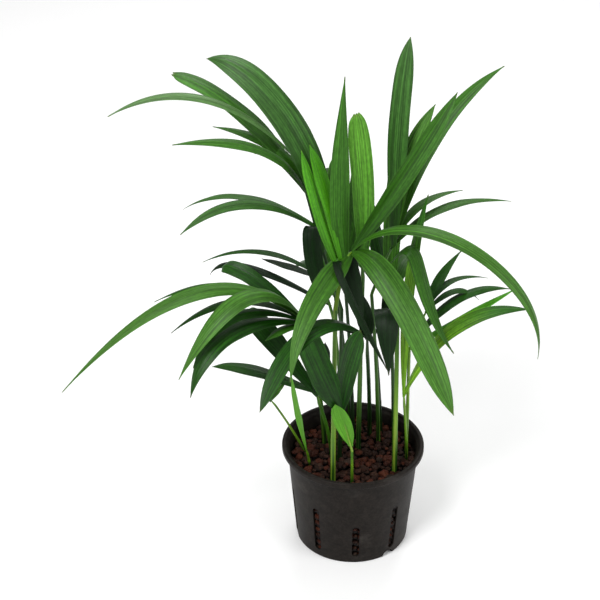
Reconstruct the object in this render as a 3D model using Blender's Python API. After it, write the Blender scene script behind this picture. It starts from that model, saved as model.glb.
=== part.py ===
# Young areca palm in a slotted culture pot filled with clay granules.
# Sizes below are in millimetres and degrees; MM turns them into metres.
# +X is right, +Y is the back, +Z is up, and the origin is under the middle of the pot.
# Bearings turn anticlockwise seen from above: 0 is right, 90 is the back, 270 is the front.
import math
import random

import bmesh
import bpy
from mathutils import Vector

MM = 0.001
UP = Vector((0.0, 0.0, 1.0))

# Pot
POT_HEIGHT = 115.0
POT_BASE_RADIUS = 59.5
WALL_SLOPE = 0.09
WALL_THICKNESS = 2.0
FLOOR_THICKNESS = 3.0
LIP_RADIUS = 75.0
LIP_WIDTH = 5.0
LIP_HEIGHT = 6.0
EDGE_ROUND = 1.0
POT_SIDES = 72
SLOT_COLUMNS = 9
FIRST_SLOT_BEARING = 272.5
SLOT_WIDTH = 7.5
SLOT_BOTTOM = 9.0
SLOT_TOP_SHORT = 50.0
SLOT_TOP_LONG = 66.0
SLOT_END_FACES = 4
COLUMNS_PER_REPEAT = 3
NOTCH_OFFSET = 36.5
NOTCH_WIDTH = 14.0
NOTCH_HEIGHT = 6.5
NOTCH_DEPTH = 6.0
NOTCH_ARCH_FACES = 6

# Clay granules
GRANULE_BED_TOP = 96.0
GRANULE_SMALL = 4.2
GRANULE_LARGE = 5.8
GRANULE_SINK = 0.35
GRANULE_TRIES = 1500
GRANULE_SPACING = 9.5
GRANULE_FLATNESS = 0.9
GRANULE_TO_STALK = 2.0
GRANULE_SEED = 7

# Stalks and blades
SEAT_GAP = 0.3
STALK_SIDES = 6
STALK_STEPS = 8
STALK_FOOT_SHARE = 1.1
STALK_TIP_SHARE = 0.9
RIB_SIDES = 6
RIB_STEPS = 6
RIB_TIP_SHARE = 0.55
BLADE_STATIONS = (0.0, 0.08, 0.2, 0.34, 0.48, 0.62, 0.75, 0.86, 0.94, 1.0)
BLADE_ROOT_WIDTH = 0.26
BLADE_ROOT_SINK = 2.0
BLADE_TIP_WIDTH = 1.6
BLADE_THICKNESS_SHARE = 0.0115
BLADE_THICKNESS_LEAST = 1.8
BLADE_TIP_THICKNESS = 0.9
BLADE_RIDGE = 0.14
BLADE_BROADEST = 0.42
SLENDER = 1.0
POINTED = 1.5
BROAD = 2.2
FULL = 4.0
BLUNT = 6.0
BLUNT_TIP_SHARE = 0.5


def leaflet(bearing, reach, rise, crest, width, lean=0.5, bow=0.0, roll=0.0, late=(0.0, 0.0),
            at=1.0, taper=POINTED, peak=BLADE_BROADEST):
    """One leaflet: its tip lies `reach` away and `rise` above its root, and the blade
    bends over a shoulder that stands `crest` above the root at `lean` of the reach.
    `late` pushes its outer third further out and up; it is broadest at `peak`."""
    return dict(bearing=bearing, reach=reach, rise=rise, crest=crest, width=width,
                lean=lean, bow=bow, roll=roll, late=late, at=at, taper=taper, peak=peak)


# Each plant stem: the foot and tip of its stalk, the stalk's radius and how long it
# stays upright, then the rib of its frond and the leaflets along the rib.
STEMS = {
    "front": dict(
        foot=(-22, -48), tip=(-21, -35, 301.6), radius=2.6, upright=0.5,
        rib=dict(bearing=58, reach=31, rise=50, crest=59),
        leaflets=[
            leaflet(308, 157, -110, 33, 27, lean=0.34, bow=-3, roll=15, taper=FULL),
            leaflet(243, 132, -75, -16, 24, lean=0.73, bow=-12, roll=-10, at=0.96, taper=SLENDER, peak=0.2),
            leaflet(338, 195, -78, 122, 18, lean=0.4, bow=11, roll=10, late=(88, -42), at=0.98),
            leaflet(21, 108, 156, 76, 22, lean=0.54, bow=-4, roll=20, at=0.96, taper=BROAD),
            leaflet(128, 64, 113, 60, 15, lean=0.43, bow=9, roll=5, at=0.35, taper=BROAD),
            leaflet(120, 66, 108, 72, 17, lean=0.43, roll=10, at=0.45, peak=0.55),
            leaflet(92, 50, 176, 35, 22, lean=0.34, bow=11, roll=25, at=0.6, taper=SLENDER, peak=0.5),
            leaflet(310, 67, -89, 41, 11, lean=-0.01, bow=-34, roll=-15, at=0.5, taper=BROAD),
            leaflet(299, 27, -65, -10, 16, lean=0.46, bow=-10, roll=5, at=0.94),
        ]),
    "upper_left": dict(
        foot=(-14, -5), tip=(-14, 0, 280), radius=2.2, upright=0.5,
        rib=dict(bearing=136, reach=62, rise=147, crest=62),
        leaflets=[
            leaflet(191, 185, 65, 128, 10, lean=0.51, bow=22, roll=-20),
            leaflet(162, 138, 104, 89, 26, lean=0.45, bow=-3, roll=-5, at=0.84, taper=BLUNT),
            leaflet(146, 140, 176, 144, 31, lean=-0.08, bow=-19, roll=-25, late=(53, 34), at=0.42,
                    taper=BROAD),
            leaflet(164, 95, 54, 51, 15, lean=0.17, bow=-2, roll=-10, at=0.84),
            leaflet(199, 136, 77, 80, 14, lean=0.24, bow=10, roll=-20, at=0.8),
            leaflet(165, 139, -2, 44, 13, lean=0.6, bow=1, at=0.6),
            leaflet(202, 143, 23, 75, 15, lean=0.56, bow=1, roll=-10, at=0.58),
            leaflet(281, 36, -68, 18, 20, lean=0.36, bow=-15, roll=-15, at=0.58, taper=BROAD),
        ]),
    "middle_left": dict(
        foot=(-9, 22), tip=(-22, 13, 262), radius=2, upright=0.5,
        rib=dict(bearing=165, reach=13, rise=46, crest=24),
        leaflets=[
            leaflet(160, 130, -9, 37, 9),
            leaflet(151, 70, 3, 6, 11, lean=0.59, bow=3, at=0.97),
            leaflet(164, 128, 14, 53, 10, lean=0.89, bow=-1, roll=-10, at=0.3),
        ]),
    "left": dict(
        foot=(-30, 22), tip=(-44, 0, 240), radius=2.2, upright=0.5,
        rib=dict(bearing=232, reach=13, rise=34, crest=18),
        leaflets=[
            leaflet(193, 248, -51, 116, 18, lean=0.4, roll=-15, taper=SLENDER),
            leaflet(165, 160, -4, 54, 9, lean=0.47, bow=-7, roll=-10, at=0.96),
            leaflet(214, 148, -17, 106, 23, lean=0.45, bow=-1, roll=-10, at=0.98),
            leaflet(186, 135, -6, 56, 13, at=0.94),
            leaflet(211, 128, -13, 59, 13, lean=0.7, bow=-13, roll=-15, at=0.92),
            leaflet(220, 146, -28, 45, 23, lean=0.73, bow=-21, roll=-5, at=0.88),
            leaflet(217, 50, -2, 6, 13, at=0.84),
            leaflet(153, 94, 36, 56, 20, lean=0.83, bow=4, roll=-10, at=0.95, taper=FULL),
        ]),
    "low_front": dict(
        foot=(19, 38), tip=(13, -3, 228), radius=2.2, upright=0.5,
        rib=dict(bearing=258, reach=3, rise=22, crest=12),
        leaflets=[
            leaflet(216, 134, -38, 131, 19, lean=0.92, bow=59, roll=-15, taper=FULL),
            leaflet(190, 46, 20, 24, 14, bow=8, at=0.95),
            leaflet(240, 14, 62, 30, 20, at=0.9),
        ]),
    "low_left": dict(
        foot=(-22, 4), tip=(-36, -12, 172), radius=2, upright=0.45,
        rib=dict(bearing=225, reach=4, rise=16, crest=8),
        leaflets=[
            leaflet(164, 113, 11, 24, 16, lean=0.71, bow=1, roll=-10),
            leaflet(144, 88, 65, 103, 24, lean=0.81, bow=32, roll=-20, at=0.9),
            leaflet(300, 16, 72, 38, 20, at=0.9),
        ]),
    "folded": dict(
        foot=(-2, -50), tip=(-3, -64, 150), radius=1.5, upright=0.5,
        rib=dict(bearing=200, reach=12, rise=52, crest=26),
        leaflets=[
            leaflet(173, 41, 103, 39, 27, bow=1, roll=-55, taper=FULL),
            leaflet(25, 20, 91, 31, 22, bow=18, roll=30, taper=FULL),
            leaflet(215, 20, 58, 32, 18, roll=40, at=0.15, taper=BROAD),
        ]),
    "small_left": dict(
        foot=(-50, 5), tip=(-82, -8, 168), radius=1.3, upright=0.15,
        rib=dict(bearing=190, reach=4, rise=6, crest=3),
        leaflets=[
            leaflet(20, 16, 20, 12, 9),
        ]),
    "spear_left": dict(
        foot=(-46, -14), tip=(-48, -18, 112), radius=1.5, upright=0.2,
        rib=dict(bearing=215, reach=2, rise=8, crest=4),
        leaflets=[
            leaflet(212, 17, 96, 44, 14, bow=-6),
        ]),
    "low_right": dict(
        foot=(57, 8), tip=(56, 1, 230), radius=1.8, upright=0.5,
        rib=dict(bearing=35, reach=22, rise=42, crest=24),
        leaflets=[
            leaflet(52, 60, 42, 24, 11, lean=0.34, bow=6, roll=10, taper=SLENDER),
            leaflet(32, 77, 13, 35, 9, lean=0.34, bow=10, at=0.97),
            leaflet(21, 59, 0, 34, 9, lean=0.58, bow=-1, roll=5, at=0.94),
            leaflet(18, 106, 45, 61, 13, lean=0.47, bow=7, roll=5, at=0.15),
            leaflet(14, 111, 54, 32, 10, lean=0.56, bow=-3, roll=10, at=0.06),
        ]),
    "young_right": dict(
        foot=(57, -5), tip=(52, -14, 172), radius=1.6, upright=0.3,
        rib=dict(bearing=180, reach=1, rise=14, crest=7),
        leaflets=[
            leaflet(31, 21, 228, 136, 13, lean=0.07, bow=10, roll=20),
            leaflet(352, 123, 115, 120, 18, lean=0.31, bow=-5, roll=25, at=0.85),
        ]),
    "arching_right": dict(
        foot=(43, -27), tip=(43, 4, 272), radius=2.6, upright=0.5,
        rib=dict(bearing=180, reach=9, rise=58, crest=30),
        leaflets=[
            leaflet(324, 79, -76, 107, 16, lean=0.81, bow=-7, roll=20, late=(-43, -67)),
        ]),
    "tall_right": dict(
        foot=(28, 26), tip=(17, 22, 284), radius=2, upright=0.5,
        rib=dict(bearing=342, reach=22, rise=64, crest=38),
        leaflets=[
            leaflet(77, 60, 198, 140, 21, lean=0.6, bow=8, roll=-10, taper=BROAD),
            leaflet(35, 134, 161, 113, 17, lean=0.42, bow=31, roll=15, at=0.95),
            leaflet(49, 61, 133, 68, 18, lean=0.37, bow=20, roll=15, at=0.97, taper=BROAD),
            leaflet(36, 90, 35, 43, 11, lean=0.34, bow=13, at=0.93),
            leaflet(25, 137, 21, 47, 13, lean=0.39, bow=9, at=0.9),
        ]),
    "dark_middle": dict(
        foot=(31, 42), tip=(21, 30, 230), radius=2, upright=0.5,
        rib=dict(bearing=300, reach=20, rise=26, crest=18),
        leaflets=[
            leaflet(272, 60, -25, 64, 25, lean=0.48, bow=-2, roll=-10),
            leaflet(79, 16, 38, 20, 8, at=0.9),
        ]),
    "young_back": dict(
        foot=(6, 10), tip=(7, 4, 316), radius=2.4, upright=0.5,
        rib=dict(bearing=200, reach=1, rise=14, crest=7),
        leaflets=[
            leaflet(106, 29, 156, 61, 23, lean=0.43, bow=-9, taper=BLUNT, peak=0.55),
        ]),
    "rear_right": dict(
        foot=(44, 22), tip=(40, 46, 214), radius=2, upright=0.6,
        rib=dict(bearing=95, reach=22, rise=34, crest=22),
        leaflets=[
            leaflet(66, 94, -4, 54, 20),
            leaflet(90, 122, -26, 57, 22, bow=-1, at=0.95),
            leaflet(118, 108, 0, 50, 20, at=0.85),
            leaflet(80, 63, 190, 82, 19, bow=5, at=0.97),
            leaflet(64, 97, 159, 110, 18, bow=26, roll=20, at=0.9),
            leaflet(112, 104, 128, 62, 17, lean=0.55, bow=-6, at=0.93),
        ]),
    "rear_left": dict(
        foot=(-2, 48), tip=(-12, 60, 216), radius=2, upright=0.6,
        rib=dict(bearing=110, reach=20, rise=34, crest=22),
        leaflets=[
            leaflet(100, 120, -18, 56, 22, lean=0.52),
            leaflet(115, 106, -26, 34, 20, bow=4, at=0.92),
            leaflet(84, 106, 13, 46, 18, bow=4, at=0.82),
            leaflet(128, 90, 168, 127, 20, lean=0.36, bow=-8, at=0.96),
            leaflet(62, 43, 157, 80, 18, lean=0.7, bow=-12, at=0.94),
            leaflet(112, 98, 97, 95, 17, lean=0.38, bow=-5, at=0.9),
        ]),
    "rear_middle": dict(
        foot=(1, 29), tip=(-9, 48, 273), radius=2, upright=0.6,
        rib=dict(bearing=95, reach=16, rise=40, crest=24),
        leaflets=[
            leaflet(100, 129, -8, 115, 19, bow=6, at=0.98),
            leaflet(136, 130, 65, 110, 18, lean=0.46, bow=14, at=0.95),
            leaflet(131, 130, 148, 114, 18, bow=-10, at=0.9),
            leaflet(94, 59, 84, 87, 16, bow=15, at=0.9),
        ]),
}

# Materials: colour, roughness, metallic
FINISHES = {
    "pot_plastic": ((0.035, 0.031, 0.028), 0.55, 0.0),
    "clay": ((0.13, 0.055, 0.035), 0.95, 0.0),
    "stalk_green": ((0.10, 0.22, 0.03), 0.5, 0.0),
    "leaf_green": ((0.035, 0.14, 0.02), 0.42, 0.0),
}


def clear_scene():
    for thing in list(bpy.data.objects):
        bpy.data.objects.remove(thing, do_unlink=True)


def make_materials():
    made = {}
    for name, (colour, roughness, metallic) in FINISHES.items():
        material = bpy.data.materials.new(name)
        material.use_nodes = True
        shader = material.node_tree.nodes["Principled BSDF"]
        shader.inputs["Base Color"].default_value = (*colour, 1.0)
        shader.inputs["Roughness"].default_value = roughness
        shader.inputs["Metallic"].default_value = metallic
        material.diffuse_color = (*colour, 1.0)
        made[name] = material
    return made


def add_object(name, mesh_builder, material=None):
    mesh = bpy.data.meshes.new(name)
    mesh_builder.to_mesh(mesh)
    mesh_builder.free()
    thing = bpy.data.objects.new(name, mesh)
    bpy.context.collection.objects.link(thing)
    if material:
        mesh.materials.append(material)
    return thing


def bearing_vector(bearing):
    angle = math.radians(bearing)
    return Vector((math.cos(angle), math.sin(angle), 0.0))


def side_vector(bearing):
    return UP.cross(bearing_vector(bearing))


def bend_points(root, shoulder, tip, stations, late=Vector()):
    """Places and directions along one smooth bend from root to tip."""
    places = []
    for t in stations:
        place = root * (1 - t) ** 2 + shoulder * (2 * t * (1 - t)) + tip * t ** 2
        place += late * (3 * t ** 2 * (1 - t))
        heading = ((shoulder - root) * (1 - t) + (tip - shoulder) * t) * 2
        heading += late * (6 * t - 9 * t ** 2)
        places.append((place, heading.normalized()))
    return places


def reach_points(root, shape, stations):
    """The bend of a rib or leaflet, from its bearing, reach, rise and crest."""
    ahead = bearing_vector(shape["bearing"])
    across = side_vector(shape["bearing"])
    out = shape["reach"] * shape.get("lean", 0.5)
    shoulder = root + (ahead * out + across * shape.get("bow", 0.0) + UP * shape["crest"]) * MM
    tip = root + (ahead * shape["reach"] + UP * shape["rise"]) * MM
    later_out, later_up = shape.get("late", (0.0, 0.0))
    late = (ahead * later_out + UP * later_up) * MM
    return bend_points(root, shoulder, tip, stations, late)


def even_stations(steps):
    return [step / steps for step in range(steps + 1)]


def tapering(first, last, steps):
    return [first + (last - first) * t for t in even_stations(steps)]


def add_rings(rings):
    """A closed skin over rings of equal point counts, with flat ends."""
    skin = bmesh.new()
    loops = [[skin.verts.new(place) for place in ring] for ring in rings]
    count = len(loops[0])
    for near, far in zip(loops, loops[1:]):
        for i in range(count):
            j = (i + 1) % count
            skin.faces.new((near[i], near[j], far[j], far[i]))
    skin.faces.new(list(reversed(loops[0])))
    skin.faces.new(loops[-1])
    return skin


def tube(places, radii, sides, first_flat=False):
    """A tapering round limb; its foot can be cut level."""
    rings = []
    across = Vector((1.0, 0.0, 0.0))
    for index, ((place, heading), radius) in enumerate(zip(places, radii)):
        if first_flat and index == 0:
            heading = UP
        across = (across - heading * across.dot(heading)).normalized()
        third = heading.cross(across)
        ring = []
        for i in range(sides):
            angle = 2 * math.pi * i / sides
            ring.append(place + (across * math.cos(angle) + third * math.sin(angle)) * radius * MM)
        rings.append(ring)
    return add_rings(rings)


def blade_width(t, shape):
    """Width along a blade: narrow at the root, broadest at its peak, pointed or blunt."""
    width, peak, taper = shape["width"], shape["peak"], shape["taper"]
    if t < peak:
        grow = math.sin(0.5 * math.pi * t / peak)
        return width * (BLADE_ROOT_WIDTH + (1 - BLADE_ROOT_WIDTH) * grow)
    fall = math.cos(0.5 * math.pi * ((t - peak) / (1 - peak)) ** taper)
    least = BLUNT_TIP_SHARE * width if taper >= BLUNT else BLADE_TIP_WIDTH
    return max(least, width * fall)


def path_length(places):
    return sum((b[0] - a[0]).length for a, b in zip(places, places[1:]))


def blade(root, shape):
    """A leaflet as a thin lozenge with a low ridge along its middle."""
    places = reach_points(root, shape, BLADE_STATIONS)
    length = path_length(places) / MM
    root_heading = places[0][1]
    places[0] = (root - root_heading * BLADE_ROOT_SINK * MM, root_heading)
    thickness = max(BLADE_THICKNESS_LEAST, BLADE_THICKNESS_SHARE * length)
    level = side_vector(shape["bearing"])
    roll = math.radians(shape["roll"])
    rings = []
    for t, (place, heading) in zip(BLADE_STATIONS, places):
        side = (level - heading * level.dot(heading)).normalized()
        face = heading.cross(side)
        side, face = (side * math.cos(roll) + face * math.sin(roll),
                      face * math.cos(roll) - side * math.sin(roll))
        half = blade_width(t, shape) / 2
        thick = BLADE_TIP_THICKNESS if t == 1.0 else thickness
        ridge = BLADE_RIDGE * half
        rings.append([
            place + side * half * MM,
            place + face * (ridge + thick / 2) * MM,
            place - side * half * MM,
            place + face * (ridge - thick / 2) * MM,
        ])
    return add_rings(rings)


def combine(base, pieces, operation):
    """Joins pieces to a body, or cuts them out of it, and removes them."""
    group = bpy.data.collections.new("pieces")
    for piece in pieces:
        bpy.context.collection.objects.unlink(piece)
        group.objects.link(piece)
    change = base.modifiers.new("change", "BOOLEAN")
    change.operation = operation
    change.solver = "EXACT"
    change.operand_type = "COLLECTION"
    change.collection = group
    bpy.context.view_layer.update()
    depsgraph = bpy.context.evaluated_depsgraph_get()
    mesh = bpy.data.meshes.new_from_object(base.evaluated_get(depsgraph))
    base.modifiers.clear()
    base.data = mesh
    for piece in pieces:
        bpy.data.objects.remove(piece, do_unlink=True)
    bpy.data.collections.remove(group)


def union(name, pieces, material):
    """Joins pieces that overlap into one closed body."""
    body = pieces[0]
    combine(body, pieces[1:], "UNION")
    body.name = name
    body.data.name = name
    body.data.materials.clear()
    body.data.materials.append(material)
    return body


def smooth_round(thing, angle=35.0):
    thing.data.shade_smooth()
    thing.data.set_sharp_from_angle(angle=math.radians(angle))


def turned(profile, sides):
    """A body of revolution from (radius, height) pairs; the first and last lie on the axis."""
    body = bmesh.new()
    bottom = body.verts.new((0.0, 0.0, profile[0][1] * MM))
    top = body.verts.new((0.0, 0.0, profile[-1][1] * MM))
    rings = []
    for radius, height in profile[1:-1]:
        ring = []
        for i in range(sides):
            angle = 2 * math.pi * i / sides
            ring.append(body.verts.new((radius * math.cos(angle) * MM,
                                        radius * math.sin(angle) * MM, height * MM)))
        rings.append(ring)
    for i in range(sides):
        j = (i + 1) % sides
        body.faces.new((bottom, rings[0][j], rings[0][i]))
        body.faces.new((top, rings[-1][i], rings[-1][j]))
        for low, high in zip(rings, rings[1:]):
            body.faces.new((low[i], low[j], high[j], high[i]))
    return body


def wall_radius(height):
    return POT_BASE_RADIUS + WALL_SLOPE * height


def inner_radius(height):
    return wall_radius(height) - WALL_THICKNESS


def pot_profile():
    lip_bottom = POT_HEIGHT - LIP_HEIGHT
    lip_inside = LIP_RADIUS - LIP_WIDTH
    throat = POT_HEIGHT - 3 * EDGE_ROUND
    return [
        (0.0, 0.0),
        (POT_BASE_RADIUS - EDGE_ROUND, 0.0),
        (wall_radius(EDGE_ROUND), EDGE_ROUND),
        (wall_radius(lip_bottom), lip_bottom),
        (LIP_RADIUS - EDGE_ROUND, lip_bottom),
        (LIP_RADIUS, lip_bottom + EDGE_ROUND),
        (LIP_RADIUS, POT_HEIGHT - EDGE_ROUND),
        (LIP_RADIUS - EDGE_ROUND, POT_HEIGHT),
        (lip_inside + EDGE_ROUND, POT_HEIGHT),
        (lip_inside, POT_HEIGHT - EDGE_ROUND),
        (inner_radius(throat), throat - EDGE_ROUND),
        (inner_radius(FLOOR_THICKNESS), FLOOR_THICKNESS),
        (0.0, FLOOR_THICKNESS),
    ]


def slot_cutter(bearing, top):
    """A round-ended upright slot, drawn on a plane and pushed through the wall."""
    half = SLOT_WIDTH / 2
    inside = inner_radius(0.0) - 2 * WALL_THICKNESS
    outside = wall_radius(top) + WALL_THICKNESS
    across = side_vector(bearing)
    outward = bearing_vector(bearing)
    outline = []
    for start, middle in ((180, SLOT_BOTTOM + half), (0, top - half)):
        for step in range(SLOT_END_FACES + 1):
            angle = math.radians(start + 180 * step / SLOT_END_FACES)
            outline.append((half * math.cos(angle), middle + half * math.sin(angle)))
    rings = []
    for depth in (inside, outside):
        rings.append([(outward * depth + across * x + UP * z) * MM for x, z in outline])
    return add_rings(rings)


def notch_cutter(bearing):
    """A low arch through the foot of the wall, where water drains."""
    half = NOTCH_WIDTH / 2
    outside = POT_BASE_RADIUS + NOTCH_DEPTH
    inside = POT_BASE_RADIUS - NOTCH_DEPTH
    across = side_vector(bearing)
    outward = bearing_vector(bearing)
    outline = [(-half, -NOTCH_HEIGHT)]
    for step in range(NOTCH_ARCH_FACES + 1):
        angle = math.pi * (1 - step / NOTCH_ARCH_FACES)
        outline.append((half * math.cos(angle), NOTCH_HEIGHT * math.sin(angle)))
    outline.append((half, -NOTCH_HEIGHT))
    outline.reverse()
    rings = []
    for depth in (inside, outside):
        rings.append([(outward * depth + across * x + UP * z) * MM for x, z in outline])
    return add_rings(rings)


def make_pot(materials):
    pot = add_object("pot", turned(pot_profile(), POT_SIDES), materials["pot_plastic"])
    pitch = 360.0 / SLOT_COLUMNS
    cutters = []
    for column in range(SLOT_COLUMNS):
        bearing = FIRST_SLOT_BEARING + pitch * column
        short = column % COLUMNS_PER_REPEAT == 0
        top = SLOT_TOP_SHORT if short else SLOT_TOP_LONG
        cutters.append(add_object("slot", slot_cutter(bearing, top)))
        if short:
            cutters.append(add_object("notch", notch_cutter(bearing + NOTCH_OFFSET)))
    combine(pot, cutters, "DIFFERENCE")
    smooth_round(pot)


def feet():
    return [(Vector((*stem["foot"], 0.0)), stem["radius"] * STALK_FOOT_SHARE) for stem in STEMS.values()]


def granule(place, radius, turn):
    body = bmesh.new()
    bmesh.ops.create_icosphere(body, subdivisions=1, radius=radius * MM)
    for vert in body.verts:
        x, y, z = vert.co
        vert.co = Vector((x * math.cos(turn) - y * math.sin(turn),
                          x * math.sin(turn) + y * math.cos(turn),
                          z * GRANULE_FLATNESS)) + place * MM
    return body


def granule_places():
    """Seeded places for the top layer, kept off the wall and off every stalk."""
    draw = random.Random(GRANULE_SEED)
    chosen = []
    for _ in range(GRANULE_TRIES):
        radius = draw.uniform(GRANULE_SMALL, GRANULE_LARGE)
        turn = draw.uniform(0.0, math.pi)
        limit = inner_radius(GRANULE_BED_TOP) - radius - 2 * SEAT_GAP
        distance = limit * math.sqrt(draw.random())
        angle = draw.uniform(0.0, 2 * math.pi)
        place = Vector((distance * math.cos(angle), distance * math.sin(angle), 0.0))
        near_stalk = any((place - foot).length < radius + around + GRANULE_TO_STALK
                         for foot, around in feet())
        near_other = any((place - other).length < GRANULE_SPACING for other, _, _ in chosen)
        if not near_stalk and not near_other:
            chosen.append((place, radius, turn))
    return chosen


def make_granules(materials):
    bottom = FLOOR_THICKNESS + SEAT_GAP
    profile = [
        (0.0, bottom),
        (inner_radius(bottom) - SEAT_GAP, bottom),
        (inner_radius(GRANULE_BED_TOP) - SEAT_GAP, GRANULE_BED_TOP),
        (0.0, GRANULE_BED_TOP),
    ]
    pieces = [add_object("bed", turned(profile, POT_SIDES // 2))]
    for place, radius, turn in granule_places():
        centre = place + UP * (GRANULE_BED_TOP + radius * GRANULE_SINK)
        pieces.append(add_object("granule", granule(centre, radius, turn)))
    union("clay_granules", pieces, materials["clay"])


def stalk_places(stem):
    foot = Vector((*stem["foot"], GRANULE_BED_TOP + SEAT_GAP)) * MM
    tip = Vector(stem["tip"]) * MM
    middle = (foot + tip) / 2
    above_foot = Vector((foot.x, foot.y, middle.z))
    shoulder = middle.lerp(above_foot, stem["upright"])
    return bend_points(foot, shoulder, tip, even_stations(STALK_STEPS))


def make_stalk(name, stem, materials):
    places = stalk_places(stem)
    radii = tapering(stem["radius"] * STALK_FOOT_SHARE, stem["radius"] * STALK_TIP_SHARE, STALK_STEPS)
    stalk = add_object("stalk_" + name, tube(places, radii, STALK_SIDES, first_flat=True),
                       materials["stalk_green"])
    smooth_round(stalk)


def make_frond(name, stem, materials):
    tip, heading = stalk_places(stem)[-1]
    start = tip + heading * SEAT_GAP * MM
    places = reach_points(start, stem["rib"], even_stations(RIB_STEPS))
    places[0] = (start, heading)
    thick_end = stem["radius"] * STALK_TIP_SHARE
    radii = tapering(thick_end, thick_end * RIB_TIP_SHARE, RIB_STEPS)
    pieces = [add_object("rib", tube(places, radii, RIB_SIDES))]
    for shape in stem["leaflets"]:
        root = reach_points(start, stem["rib"], [shape["at"]])[0][0]
        pieces.append(add_object("leaflet", blade(root, shape)))
    frond = union("frond_" + name, pieces, materials["leaf_green"])
    smooth_round(frond)


def build_palm():
    clear_scene()
    materials = make_materials()
    make_pot(materials)
    make_granules(materials)
    for name, stem in STEMS.items():
        make_stalk(name, stem, materials)
        make_frond(name, stem, materials)


build_palm()
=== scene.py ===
import math
import random

import bmesh
import bpy
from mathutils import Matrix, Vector, noise


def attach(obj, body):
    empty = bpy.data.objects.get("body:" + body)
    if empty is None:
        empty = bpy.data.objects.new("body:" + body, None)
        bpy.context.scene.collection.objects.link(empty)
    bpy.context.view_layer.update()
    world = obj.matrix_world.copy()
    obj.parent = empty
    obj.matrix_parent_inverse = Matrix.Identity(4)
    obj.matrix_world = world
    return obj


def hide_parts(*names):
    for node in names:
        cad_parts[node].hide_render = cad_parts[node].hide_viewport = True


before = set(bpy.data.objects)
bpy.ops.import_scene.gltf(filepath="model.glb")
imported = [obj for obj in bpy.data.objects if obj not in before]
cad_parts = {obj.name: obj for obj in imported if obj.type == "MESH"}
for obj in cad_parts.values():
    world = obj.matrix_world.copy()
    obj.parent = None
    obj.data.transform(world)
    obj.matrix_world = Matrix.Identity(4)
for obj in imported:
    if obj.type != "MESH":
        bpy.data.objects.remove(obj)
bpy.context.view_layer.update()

mm = 0.001
up = Vector((0.0, 0.0, 1.0))
print("frame loaded:", len(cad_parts), "solids")


# Small tools that every piece uses

def fromScreen(red, green, blue):  # a colour read off a screen, 0 to 255, as the shader wants it
    shares = []
    for value in (red, green, blue):
        share = value / 255
        shares.append(share / 12.92 if share <= 0.04045 else ((share + 0.055) / 1.055) ** 2.4)
    return (*shares, 1.0)


def mixNumber(a, b, t):
    return a + (b - a) * t


def smoothStep(low, high, value):
    t = min(1.0, max(0.0, (value - low) / (high - low)))
    return t * t * (3 - 2 * t)


def bearingVector(bearing):  # 0 is right, 90 the back, 270 the front
    angle = math.radians(bearing)
    return Vector((math.cos(angle), math.sin(angle), 0.0))


def sideVector(bearing):
    return up.cross(bearingVector(bearing))


def bendPoints(root, shoulder, tip, stations, late=Vector()):  # one smooth bend, as places and headings
    places = []
    for t in stations:
        spot = root * (1 - t) ** 2 + shoulder * (2 * t * (1 - t)) + tip * t ** 2
        spot += late * (3 * t ** 2 * (1 - t))
        heading = ((shoulder - root) * (1 - t) + (tip - shoulder) * t) * 2 + late * (6 * t - 9 * t ** 2)
        places.append((spot, heading.normalized()))
    return places


def reachPoints(root, shape, stations):
    ahead = bearingVector(shape["bearing"])
    across = sideVector(shape["bearing"])
    out = shape["reach"] * shape.get("lean", 0.5)
    shoulder = root + (ahead * out + across * shape.get("bow", 0.0) + up * shape["crest"]) * mm
    tip = root + (ahead * shape["reach"] + up * shape["rise"]) * mm
    laterOut, laterUp = shape.get("late", (0.0, 0.0))
    return bendPoints(root, shoulder, tip, stations, (ahead * laterOut + up * laterUp) * mm)


def evenStations(steps):
    return [step / steps for step in range(steps + 1)]


class Skin:  # gathers many small shells that end up as one mesh with named values per point
    def __init__(self):
        self.points = []
        self.faces = []
        self.values = {}

    def addPoint(self, place, **values):
        self.points.append(tuple(place))
        for key, value in values.items():
            self.values.setdefault(key, []).append(value)
        return len(self.points) - 1

    def addFace(self, *corners):
        self.faces.append(corners)

    def finish(self, name, material, sharpAngle=60.0):
        mesh = bpy.data.meshes.new(name)
        mesh.from_pydata(self.points, [], self.faces)
        for key, values in self.values.items():
            if isinstance(values[0], (tuple, list, Vector)):
                layer = mesh.attributes.new(key, "FLOAT_VECTOR", "POINT")
                layer.data.foreach_set("vector", [part for value in values for part in value])
            else:
                layer = mesh.attributes.new(key, "FLOAT", "POINT")
                layer.data.foreach_set("value", values)
        mesh.materials.append(material)
        mesh.shade_smooth()
        mesh.set_sharp_from_angle(angle=math.radians(sharpAngle))
        thing = bpy.data.objects.new(name, mesh)
        bpy.context.collection.objects.link(thing)
        return thing


def place(thing, slotName, *nodes):  # every piece stands in the pot's own frame
    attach(thing, "root")
    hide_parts(*nodes)
    return thing


# Shader helpers

def newGroup(name, inputs, outputs):
    group = bpy.data.node_groups.new(name, "ShaderNodeTree")
    for label, kind, value in inputs:
        socket = group.interface.new_socket(name=label, in_out="INPUT", socket_type="NodeSocket" + kind)
        socket.default_value = value
    for label, kind in outputs:
        group.interface.new_socket(name=label, in_out="OUTPUT", socket_type="NodeSocket" + kind)
    return group, group.nodes.new("NodeGroupInput"), group.nodes.new("NodeGroupOutput")


def feed(tree, source, socket):  # a socket takes a link or a plain value
    if isinstance(source, bpy.types.NodeSocket):
        tree.links.new(source, socket)
    else:
        socket.default_value = source


def maths(tree, operation, *values, clamp=False):
    node = tree.nodes.new("ShaderNodeMath")
    node.operation = operation
    node.use_clamp = clamp
    for index, value in enumerate(values):
        feed(tree, value, node.inputs[index])
    return node.outputs[0]


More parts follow.
